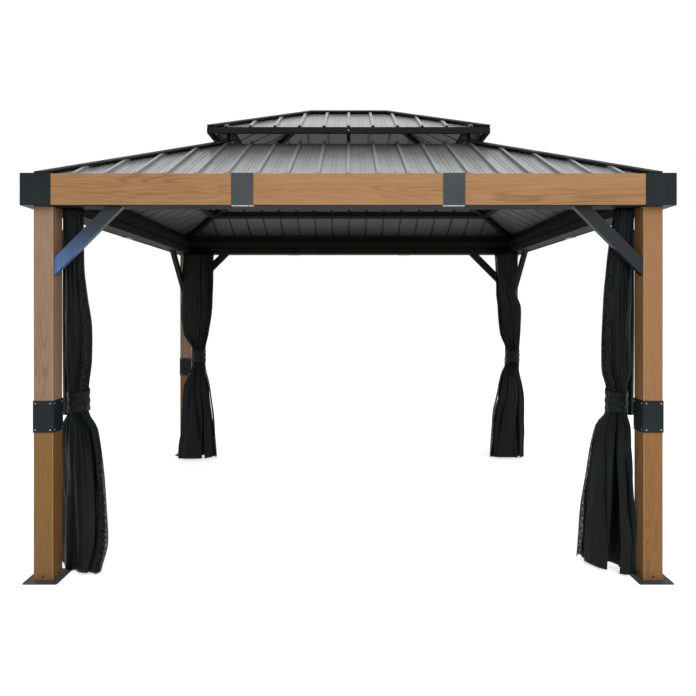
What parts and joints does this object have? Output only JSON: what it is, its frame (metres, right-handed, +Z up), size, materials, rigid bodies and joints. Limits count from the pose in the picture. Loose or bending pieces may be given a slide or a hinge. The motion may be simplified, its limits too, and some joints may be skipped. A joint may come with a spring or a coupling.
{
  "type": "garden gazebo with a two-tier metal hip roof",
  "caption": "Open garden gazebo: wood-grain posts and fascias, knee braces, tied-back curtains and a ribbed metal hip roof with a raised vent tier.",
  "frame": {"origin": "on the ground under the middle of the roof", "axes": "+X to the right along the longer eave, +Y to the back, +Z up; the front in the picture faces -Y"},
  "size_m": [3.666, 3.046, 3.1726],
  "materials": {
    "wood_grain_aluminium": "satin wood-grain coating",
    "charcoal_metal": "satin powder coat",
    "base_plate": "satin powder coat",
    "roof_sheet": "satin coated steel",
    "curtain_cloth": "matte woven polyester"
  },
  "bodies": {
    "root": {"base_plate_back_left": "base_plate", "base_plate_back_right": "base_plate", "base_plate_front_left": "base_plate", "base_plate_front_right": "base_plate", "beam_back": "charcoal_metal", "beam_front": "charcoal_metal", "beam_left": "charcoal_metal", "beam_right": "charcoal_metal", "corner_cover_back_left": "charcoal_metal", "corner_cover_back_right": "charcoal_metal", "corner_cover_front_left": "charcoal_metal", "corner_cover_front_right": "charcoal_metal", "curtain_back_left": "curtain_cloth", "curtain_back_right": "curtain_cloth", "curtain_front_left": "curtain_cloth", "curtain_front_right": "curtain_cloth", "fascia_back": "wood_grain_aluminium", "fascia_front": "wood_grain_aluminium", "fascia_joint_covers": "charcoal_metal", "fascia_left": "wood_grain_aluminium", "fascia_right": "wood_grain_aluminium", "hip_rafters": "charcoal_metal", "knee_braces_back_left": "charcoal_metal", "knee_braces_back_right": "charcoal_metal", "knee_braces_front_left": "charcoal_metal", "knee_braces_front_right": "charcoal_metal", "lower_hip_caps": "charcoal_metal", "lower_roof_back": "roof_sheet", "lower_roof_front": "roof_sheet", "lower_roof_left": "roof_sheet", "lower_roof_right": "roof_sheet", "mid_purlins": "charcoal_metal", "post_back_left": "wood_grain_aluminium", "post_back_right": "wood_grain_aluminium", "post_front_left": "wood_grain_aluminium", "post_front_right": "wood_grain_aluminium", "post_sleeves": "charcoal_metal", "ridge_beam": "charcoal_metal", "ridge_cap": "charcoal_metal", "upper_fascia": "charcoal_metal", "upper_hip_caps": "charcoal_metal", "upper_purlins": "charcoal_metal", "upper_rafters": "charcoal_metal", "upper_roof_back": "roof_sheet", "upper_roof_front": "roof_sheet", "upper_roof_left": "roof_sheet", "upper_roof_right": "roof_sheet", "vent_curb": "charcoal_metal", "vent_struts": "charcoal_metal"}
  },
  "joints": []
}
